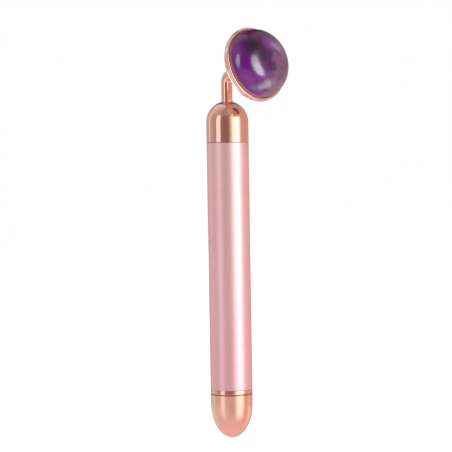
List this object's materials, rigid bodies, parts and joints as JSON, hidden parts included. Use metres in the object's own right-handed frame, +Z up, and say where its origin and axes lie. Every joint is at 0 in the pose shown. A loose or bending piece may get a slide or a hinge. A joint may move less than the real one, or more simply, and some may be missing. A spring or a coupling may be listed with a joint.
{
  "type": "facial massage wand",
  "caption": "Slim vibrating facial massage wand: pink aluminium grip with plated ends, bent neck and a domed purple stone head; a twist cap closes its battery bay.",
  "frame": {"origin": "on the grip's axis, level with the lower end of the grip tube, where the grip mount starts", "axes": "+Z up the grip towards the head, -Y the way the stone faces, +X to the right as seen from the stone's side"},
  "size_m": [0.03, 0.0364, 0.1655],
  "materials": {
    "rose_gold": "polished rose-gold plating",
    "pink_anodised": "fine satin, pink anodised",
    "white_plastic": "moulded",
    "black_rubber": "smooth moulded rubber",
    "steel": "nickel-plated steel",
    "brass": "bright brass",
    "battery_wrap": "shrunk film with no printing",
    "circuit_board": "green solder mask",
    "red_insulation": "wire insulation",
    "black_insulation": "wire insulation",
    "copper": "bare copper",
    "carbon": "pressed carbon",
    "ferrite": "sintered ferrite",
    "epoxy": "cured clear-white epoxy",
    "amethyst": "polished banded amethyst"
  },
  "bodies": {
    "root": {"grip_tube": "pink_anodised", "lower_ring": "rose_gold", "top_dome": "rose_gold", "dome_oring": "black_rubber", "battery_liner": "white_plastic", "ground_strip": "brass", "positive_contact": "brass", "contact_board": "circuit_board", "lead_red": "red_insulation", "lead_black": "black_insulation", "motor_holder": "white_plastic", "motor_can": "steel", "motor_end_cap": "white_plastic", "motor_terminals": "copper", "motor_bushings": "brass", "motor_magnets": "ferrite", "motor_brushes": "carbon", "neck_rod": "rose_gold", "neck_washer": "steel", "neck_nut": "steel", "bezel_cup": "rose_gold", "head_screw": "steel", "head_washer": "steel", "stone_adhesive": "epoxy", "amethyst_stone": "amethyst"},
    "battery": {"battery_cell": "steel", "battery_wrap": "battery_wrap"},
    "cap": {"end_cap": "rose_gold", "cap_core": "white_plastic", "cap_oring": "black_rubber", "spring_plate": "brass", "cap_spring": "steel"},
    "rotor": {"motor_armature": "copper", "motor_commutator": "copper", "motor_shaft": "steel", "eccentric_weight": "brass"}
  },
  "joints": [
    {"name": "battery_travel", "type": "slide", "parent": "root", "child": "battery", "axis": [0, 0, -1], "range_m": [0, 0.005]},
    {"name": "cap_twist", "type": "hinge", "parent": "battery", "child": "cap", "pos_m": [0, 0, 0], "axis": [0, 0, -1], "range_deg": [0, 1800]},
    {"name": "motor_spin", "type": "hinge", "parent": "root", "child": "rotor", "pos_m": [0, 0, 0.09], "axis": [0, 0, 1], "continuous": true}
  ],
  "couplings": [
    {"joint": "battery_travel", "follows": "cap_twist", "m_per_rad": 0.00015915}
  ]
}
